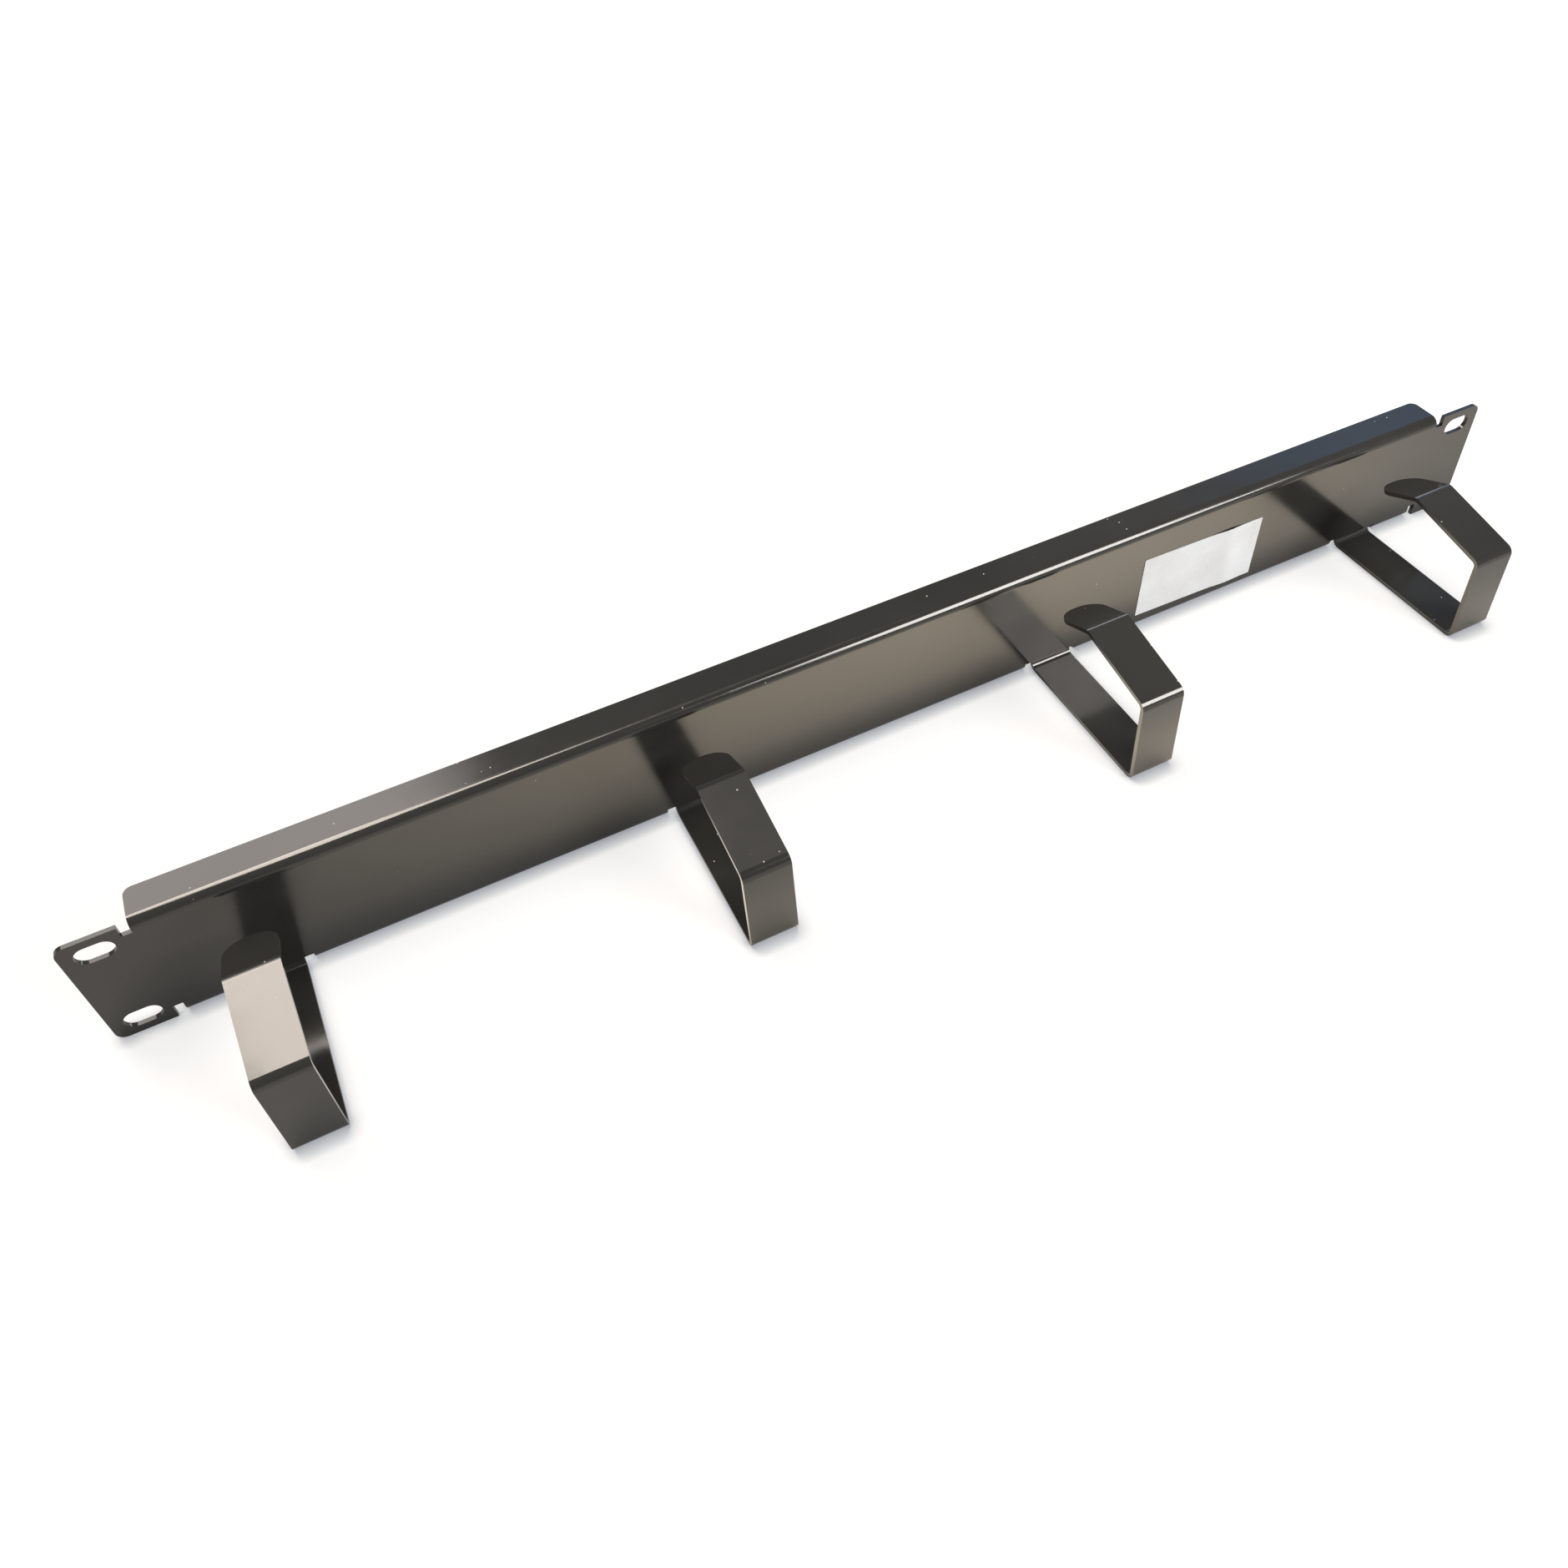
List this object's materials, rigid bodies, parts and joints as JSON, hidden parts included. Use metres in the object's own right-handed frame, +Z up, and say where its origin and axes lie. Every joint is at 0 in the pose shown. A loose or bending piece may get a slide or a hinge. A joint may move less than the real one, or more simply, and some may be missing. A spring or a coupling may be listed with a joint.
{
  "type": "horizontal cable manager",
  "caption": "Rack-width folded steel panel with slotted ears, a flange along its top and bottom, and open rings on its front that hold cables.",
  "frame": {"origin": "middle of the four-slot rack pattern, on the back face of the ears, which lies on the rack's rails", "axes": "+X along the panel's length, +Y through the panel into the rack, +Z up"},
  "size_m": [0.4826, 0.0687, 0.0436],
  "materials": {
    "folded_panel": "gloss black powder coat",
    "paper_label": "plain white paper"
  },
  "bodies": {
    "root": {"folded_panel": "folded_panel", "paper_label": "paper_label"}
  },
  "joints": []
}
